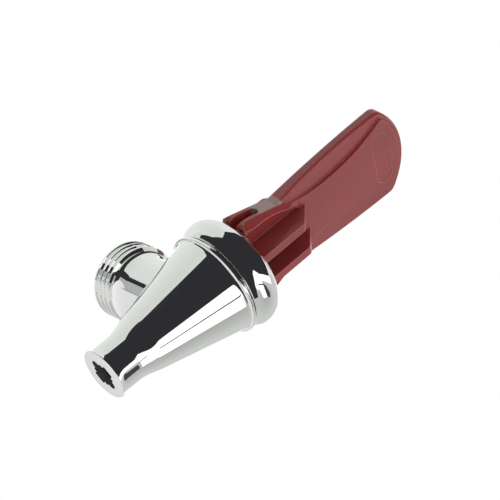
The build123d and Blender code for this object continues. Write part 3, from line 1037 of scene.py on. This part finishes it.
    def outlet_cutter(self) -> bpy.types.Object:
        """Make the cross that is cut through the outlet's plate.

        Returns:
            A closed prism, turned as the outlet is.
        """
        tip = self.slot_tip / 2
        half_slot = self.slot_length / 2
        half_root = (self.root_length / 2, self.root_width / 2)
        half_bar = (self.bar_width / 2, self.bar_length / 2)
        root_round, bar_round = self.slot_tip / 4, self.slot_tip / 6
        quadrant: list[Point] = quarter((half_slot - tip, 0.0), tip, 0, 8)
        quadrant += [(half_root[0], tip)]
        quadrant += quarter(
            (half_root[0] - root_round, half_root[1] - root_round), root_round, 0, 6
        )
        quadrant += [(half_bar[0], half_root[1])]
        quadrant += quarter((half_bar[0] - bar_round, half_bar[1] - bar_round), bar_round, 0, 6)
        outline = list(quadrant)
        outline += [(-x, y) for x, y in reversed(quadrant)]
        outline += [(-x, -y) for x, y in quadrant]
        outline += [(x, -y) for x, y in reversed(quadrant)]
        turn = Matrix.Rotation(math.radians(self.outlet_turn), 2)
        mesh = bmesh.new()
        ends = []
        below = self.spout_end - self.cut_clear
        above = self.spout_end + self.outlet_plate + self.cut_clear
        for height in (below, above):
            ring = []
            for point in outline:
                across, other = turn @ Vector(point)
                ring.append(mesh.verts.new(axis_point(across, other, height, LatheAxis.SPOUT)))
            ends.append(ring)
        bmesh.ops.remove_doubles(mesh, verts=mesh.verts, dist=WELD_DISTANCE)
        low = [v for v in ends[0] if v.is_valid]
        high = [v for v in ends[1] if v.is_valid]
        mesh.faces.new(low)
        mesh.faces.new(high)
        for i in range(len(low)):
            j = (i + 1) % len(low)
            mesh.faces.new((low[i], low[j], high[j], high[i]))
        bmesh.ops.recalc_face_normals(mesh, faces=mesh.faces)
        return to_object("outlet_cross", mesh)

    def build(self, material: bpy.types.Material) -> bpy.types.Object:
        """Make the body and let it stand for its solid.

        Args:
            material: the chrome material.

        Returns:
            The body.
        """
        body = lathe("tap_body_shell", self.shell_profile(), self.segments, LatheAxis.SPOUT)
        shank = lathe("shank", self.shank_profile(), self.segments, LatheAxis.SHANK)
        combine(shank, self.groove.build(), BooleanKind.CUT)
        room = self.room_profile()
        room_solid = lathe("shank_room", room, self.bore_segments, LatheAxis.SPOUT)
        combine(shank, room_solid, BooleanKind.CUT)
        combine(body, shank, BooleanKind.JOIN)
        mouth = self.thread_length + self.bore_clear
        bore: list[Point] = [(0.0, -STAND_OFF), (self.inlet_radius, -STAND_OFF)]
        bore += [(self.inlet_radius, mouth), (0.0, mouth)]
        bore_solid = lathe("inlet_bore", bore, self.bore_segments, LatheAxis.SHANK)
        combine(body, bore_solid, BooleanKind.CUT)
        combine(body, self.outlet_cutter(), BooleanKind.CUT)
        smooth(body, self.corner)
        dress(body, material)
        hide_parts("tap_body")
        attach(body, "tap")
        return body


@dataclass
class ValveWorks:
    """The solids that keep their own shape and only take a finish."""

    finishes: dict[str, Slot] = field(
        default_factory=lambda: {
            "bonnet": Slot.CHROME,
            "lever": Slot.RED,
            "foot_washer": Slot.NYLON,
            "guide_bush": Slot.WHITE,
            "clamp_sleeve": Slot.WHITE,
            "stem": Slot.STEEL,
            "pivot_pin": Slot.STEEL,
            "retaining_clip": Slot.STEEL,
            "spring_washer": Slot.STEEL,
        }
    )

    def dress(self, materials: dict[Slot, bpy.types.Material]) -> None:
        """Give each solid its finish.

        Args:
            materials: the material for each slot.
        """
        for node, slot in self.finishes.items():
            dress(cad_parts[node], materials[slot])
            log.info("dressed %s in %s", node, slot.value)


@dataclass(frozen=True)
class GivingPart:
    """A solid that gives way as the stem lifts, shown by a copy of it."""

    node: str
    name: str
    finish: Slot
    fixed_z: float
    lifted_z: float
    lift: float = 2.3
    weld: float = 0.001
    corner: float = 35.0

    def build(self, materials: dict[Slot, bpy.types.Material]) -> bpy.types.Object:
        """Copy the solid, and let the copy stand for it.

        Args:
            materials: the material for each slot.

        Returns:
            The copy, which stands for the solid.
        """
        mesh = bmesh.new()
        mesh.from_mesh(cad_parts[self.node].data)
        bmesh.ops.remove_doubles(mesh, verts=mesh.verts, dist=self.weld * MM)
        piece = to_object(self.name, mesh)
        smooth(piece, self.corner)
        dress(piece, materials[self.finish])
        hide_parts(self.node)
        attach(piece, "tap")
        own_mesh(piece)
        return piece


# ---- camera and studio


@dataclass(frozen=True)
class PhotoCamera:
    """The camera of the photograph: a long lens, below and to the left, and rolled."""

    aim: Place = (-12.4, -34.3, 15.1)
    azimuth: float = 36.76
    elevation: float = -23.67
    roll: float = 50.95
    distance: float = 757.0
    lens: float = 216.0
    sensor: float = 36.0

    def axes(self) -> tuple[Vector, Vector, Vector]:
        """Return the camera's right, up and backward directions."""
        turn, rise = math.radians(self.azimuth), math.radians(self.elevation)
        across = math.cos(rise)
        back = Vector((-math.sin(turn) * across, -math.cos(turn) * across, math.sin(rise)))
        level = Vector((0, 0, 1)).cross(back).normalized()
        upright = back.cross(level)
        lean = math.radians(self.roll)
        right = level * math.cos(lean) + upright * math.sin(lean)
        return right, back.cross(right), back

    def build(self) -> None:
        """Make the scene's camera."""
        right, up, back = self.axes()
        data = bpy.data.cameras.new("photo_camera")
        data.lens = self.lens
        data.sensor_width = self.sensor
        camera = bpy.data.objects.new("photo_camera", data)
        place = Matrix((right, up, back)).transposed().to_4x4()
        place.translation = (Vector(self.aim) + back * self.distance) * MM
        camera.matrix_world = place
        bpy.context.scene.collection.objects.link(camera)
        bpy.context.scene.camera = camera


@dataclass(frozen=True)
class Card:
    """A card near the tap that shows only in polished metal, and curves round it unless flat."""

    name: str
    near: Rgb
    corners: tuple[Point, ...]
    distance: float = 420.0
    far: Rgb | None = None
    fade: tuple[Point, Point] = ((0.0, 0.0), (1.0, 0.0))
    grain: float = 12.0
    flat: bool = False

    def place(self, camera: PhotoCamera, centre: Vector, corner: Point) -> Vector:
        """Return the place of a corner that is given by its angles.

        Args:
            camera: the camera that the angles are measured from, in degrees right and up.
            centre: the point that the card stands round, in metres.
            corner: the two angles.

        Returns:
            The place, in metres.
        """
        right, up, back = camera.axes()
        away = math.radians(math.hypot(*corner))
        round_ = math.atan2(corner[1], corner[0])
        aside = right * math.cos(round_) + up * math.sin(round_)
        return centre + (back * math.cos(away) + aside * math.sin(away)) * self.distance * MM

    def material(self, start: Vector, end: Vector) -> bpy.types.Material:
        """Build the card's glow, which fades from one point to another if it has a far colour.

        Args:
            start: where the near colour begins to fade.
            end: where the far colour is reached.

        Returns:
            The material.
        """
        material, graph = bare_material(self.name)
        glow = graph.node("ShaderNodeEmission")
        glow.inputs["Color"].default_value = (*self.near, 1.0)
        if self.far:
            from_start = graph.node("ShaderNodeVectorMath", operation="DISTANCE")
            graph.link(graph.place(), from_start.inputs[0])
            from_start.inputs[1].default_value = start
            reach = (end - start).length
            faded = graph.spread(from_start.outputs["Value"], 0.0, 1.0, 0.0, reach)
            graph.link(graph.blend(faded, self.near, self.far), glow.inputs["Color"])
        result = graph.node("ShaderNodeOutputMaterial")
        graph.link(glow.outputs["Emission"], result.inputs["Surface"])
        return material

    def build(self, camera: PhotoCamera, centre: Vector) -> None:
        """Make the card, as part of the studio.

        Args:
            camera: the camera that the corner angles are measured from.
            centre: the point that the card stands round, in metres.
        """
        mesh = bmesh.new()
        mesh.faces.new([mesh.verts.new((*corner, 0.0)) for corner in self.corners])
        grain = math.inf if self.flat else self.grain
        while wide := [edge for edge in mesh.edges if edge.calc_length() > grain]:
            bmesh.ops.triangulate(mesh, faces=mesh.faces)
            bmesh.ops.subdivide_edges(mesh, edges=wide, cuts=1)
            bmesh.ops.triangulate(mesh, faces=mesh.faces)
        for vertex in mesh.verts:
            vertex.co = self.place(camera, centre, (vertex.co.x, vertex.co.y))
        card = to_object(self.name, mesh)
        start, end = (self.place(camera, centre, point) for point in self.fade)
        dress(card, self.material(start, end))
        card.visible_camera = False
        card.visible_diffuse = False
        card.visible_shadow = False
        card.visible_transmission = False


def ring(centre: Point, radius: float, step: int = 20) -> tuple[Point, ...]:
    """Return the corners of a round card.

    Args:
        centre: the two angles of its centre.
        radius: its radius, in degrees like them.
        step: the turn from one corner to the next.

    Returns:
        The corners, all the way round.
    """
    turns = [math.radians(turn) for turn in range(0, 360, step)]
    return tuple(
        (centre[0] + radius * math.cos(turn), centre[1] + radius * math.sin(turn))
        for turn in turns
    )


# Each card's corners are degrees right of and above the camera's direction
CARDS: tuple[Card, ...] = (
    Card(
        "dark_card",
        (0.030, 0.030, 0.034),
        (
            (-84.0, 47.0), (-72.0, 48.0), (-54.0, 46.0), (-38.0, 53.0), (-25.0, 56.0),
            (-10.0, 76.0), (-3.0, 88.0), (20.0, 96.0), (41.0, 104.0), (74.0, 106.0),
            (94.0, 96.0), (110.0, 78.0), (112.0, 49.0), (108.0, 18.0), (92.0, 9.0),
            (72.0, 3.0), (54.0, -4.0), (33.0, -3.0), (27.0, -14.0), (22.0, -40.0),
            (24.0, -66.0), (16.0, -71.0), (0.0, -60.0), (-10.0, -38.0), (-30.0, -20.0),
            (-62.0, 25.0), (-81.0, 28.0), (-91.0, 33.0),
        ),
    ),
    Card(
        "bright_card",
        (1.35, 1.35, 1.35),
        (
            (33.0, -1.0), (56.0, 0.0), (72.0, 6.0), (92.0, 12.0), (108.0, 12.0),
            (108.0, -6.0), (78.0, -14.0), (60.0, -17.0), (54.0, -22.0), (58.0, -38.0),
            (66.0, -56.0), (46.0, -64.0), (34.0, -46.0), (27.0, -50.0), (20.0, -40.0),
            (25.0, -14.0),
        ),
        distance=430.0,
    ),
    Card(
        "seam_card",
        (0.02, 0.02, 0.02),
        ((36.0, -33.0), (58.0, -26.0), (59.0, -28.6), (37.0, -35.6)),
        distance=395.0,
    ),
    Card(
        "grey_card",
        (0.45, 0.46, 0.44),
        (
            (12.0, -60.0), (30.0, -40.0), (50.0, -16.0), (66.0, -6.0), (86.0, 6.0),
            (104.0, 16.0), (128.0, 34.0), (150.0, 12.0), (148.0, -60.0), (120.0, -108.0),
            (70.0, -146.0), (20.0, -150.0), (-6.0, -120.0), (0.0, -90.0), (0.0, -60.0),
        ),
        distance=440.0,
        far=(0.64, 0.65, 0.63),
        fade=((58.0, -60.0), (64.0, -112.0)),
    ),
    Card(
        "flare_card",
        (0.06, 0.06, 0.065),
        (
            (58.0, -23.0), (70.0, -24.0), (85.0, -36.0), (84.0, -50.0), (67.0, -53.0),
            (61.0, -40.0),
        ),
        distance=200.0,
    ),
    Card(
        "side_card",
        (0.46, 0.48, 0.47),
        (
            (-62.0, 25.0), (-81.0, 28.0), (-91.0, 33.0), (-108.0, 30.0), (-110.0, 0.0),
            (-92.0, -2.0), (-56.0, -8.0),
        ),
        distance=460.0,
    ),
    Card(
        "shelf_card",
        (0.04, 0.04, 0.04),
        (
            (-56.0, -6.0), (-92.0, 0.0), (-112.0, 2.0), (-112.0, 0.4), (-92.0, -1.6),
            (-56.0, -8.0),
        ),
        distance=395.0,
    ),
    Card(
        "pale_card",
        (0.72, 0.74, 0.70),
        ring((-46.0, 82.0), 44.0),
        distance=480.0,
        far=(0.84, 0.86, 0.82),
        fade=((-40.0, 66.0), (-96.0, 90.0)),
    ),
    Card(
        "back_card",
        (1.3, 1.3, 1.3),
        ring((0.0, 0.0), 146.0),
        distance=560.0,
        far=(0.84, 0.86, 0.83),
        fade=((0.0, 180.0), (0.0, 146.0)),
        flat=True,
    ),
)


@dataclass(frozen=True)
class Studio:
    """A white tent: even light, a pale floor below, and cards for the chrome to show."""

    light: float = 0.66
    backdrop: float = 1.0
    tent: float = 0.86
    tent_tint: Rgb = (0.985, 1.0, 0.975)
    floor_height: float = -300.0
    floor_size: float = 3000.0
    floor_color: Rgb = (0.82, 0.82, 0.82)
    floor_glow: float = 0.2
    lamp_place: Place = (60.0, -560.0, 330.0)
    lamp_size: float = 500.0
    lamp_power: float = 2.3
    centre: Place = (0.0, -19.7, 8.0)
    cards: tuple[Card, ...] = CARDS

    def world(self) -> None:
        """Light the tap evenly, with a white backdrop and a pale tent in reflections."""
        world = bpy.data.worlds.new("tent")
        bpy.context.scene.world = world
        world.use_nodes = True
        world.node_tree.nodes.clear()
        graph = Graph(world.node_tree)
        path = graph.node("ShaderNodeLightPath").outputs
        shades = []
        for level, tint in (
            (self.light, (1.0, 1.0, 1.0)),
            (self.tent, self.tent_tint),
            (self.backdrop, (1.0, 1.0, 1.0)),
        ):
            shade = graph.node("ShaderNodeBackground")
            graph.fill(shade, {"Color": (*tint, 1.0), "Strength": level})
            shades.append(shade)
        light, tent, backdrop = shades
        seen = graph.mix(path["Is Glossy Ray"], light, tent)
        both = graph.mix(path["Is Camera Ray"], seen, backdrop)
        result = graph.node("ShaderNodeOutputWorld")
        graph.link(both.outputs[0], result.inputs["Surface"])

    def floor(self) -> None:
        """Make the floor, which can't be seen from below."""
        half = self.floor_size / 2 * MM
        height = self.floor_height * MM
        mesh = bmesh.new()
        corners = ((-half, -half), (half, -half), (half, half), (-half, half))
        mesh.faces.new([mesh.verts.new((x, y, height)) for x, y in corners])
        floor = to_object("floor", mesh)
        material, graph = bare_material("pale_floor")
        matt = graph.node("ShaderNodeBsdfDiffuse")
        matt.inputs["Color"].default_value = (*self.floor_color, 1.0)
        glow = graph.node("ShaderNodeEmission")
        glow.inputs["Strength"].default_value = self.floor_glow
        lit = graph.node("ShaderNodeAddShader")
        graph.link(matt.outputs[0], lit.inputs[0])
        graph.link(glow.outputs[0], lit.inputs[1])
        clear = graph.node("ShaderNodeBsdfTransparent")
        side = graph.node("ShaderNodeNewGeometry")
        mixed = graph.mix(side.outputs["Backfacing"], lit, clear)
        result = graph.node("ShaderNodeOutputMaterial")
        graph.link(mixed.outputs[0], result.inputs["Surface"])
        dress(floor, material)

    def lamp(self) -> None:
        """Hang one broad soft lamp above and in front of the tap."""
        data = bpy.data.lights.new("soft_lamp", "AREA")
        data.shape = "DISK"
        data.size = self.lamp_size * MM
        data.energy = self.lamp_power
        lamp = bpy.data.objects.new("soft_lamp", data)
        lamp.location = Vector(self.lamp_place) * MM
        aim = Vector(self.centre) * MM - lamp.location
        lamp.rotation_euler = aim.to_track_quat("-Z", "Y").to_euler()
        lamp.visible_glossy = False
        bpy.context.scene.collection.objects.link(lamp)

    def build(self, camera: PhotoCamera) -> None:
        """Set up the whole studio.

        Args:
            camera: the photograph's camera, which the cards are placed by.
        """
        self.world()
        self.floor()
        self.lamp()
        centre = Vector(self.centre) * MM
        for card in self.cards:
            card.build(camera, centre)
            log.info("placed %s", card.name)


def make_materials() -> dict[Slot, bpy.types.Material]:
    """Build every finish once.

    Returns:
        The material for each slot.
    """
    effects = Effects(handling_group(), skin_group())
    finishes = {
        Slot.CHROME: ChromePlate("chrome_plate", (0.87, 0.88, 0.87), 0.02, 1.0, 0.0004),
        Slot.RED: RedMoulding("red_plastic", (0.24, 0.034, 0.035), 0.3, 0.0, 0.006, 0.3),
        Slot.NYLON: PlainMoulding("clear_nylon", (0.8, 0.8, 0.77), 0.3, let_through=0.3),
        Slot.WHITE: PlainMoulding("white_plastic", (0.82, 0.82, 0.79), 0.4),
        Slot.SILICONE: PlainMoulding(
            "silicone", (0.75, 0.73, 0.66), 0.35, shade=(0.66, 0.64, 0.57), let_through=0.4
        ),
        Slot.STEEL: TurnedSteel("bare_steel", (0.62, 0.62, 0.61), 0.2, 1.0, 0.001),
    }
    return {slot: finish.build(effects) for slot, finish in finishes.items()}


def main() -> None:
    """Build the tap's looks, then the camera and the studio."""
    logging.basicConfig(level=logging.INFO, format="%(name)s: %(message)s")
    bpy.context.scene.view_settings.view_transform = "Standard"
    camera = PhotoCamera()
    camera.build()
    materials = make_materials()
    body = ChromeBody().build(materials[Slot.CHROME])
    log.info("built %s with %d faces", body.name, len(body.data.polygons))
    ValveWorks().dress(materials)
    for part in (
        GivingPart("return_spring", "return_spring_coil", Slot.STEEL, 15.85, 9.0),
        GivingPart("seat_cup", "seat_cup_moulding", Slot.SILICONE, 6.8, -9.9),
    ):
        copy = part.build(materials)
        log.info("copied %s as %s", part.node, copy.name)
    Studio().build(camera)


if __name__ == "__main__":
    main()
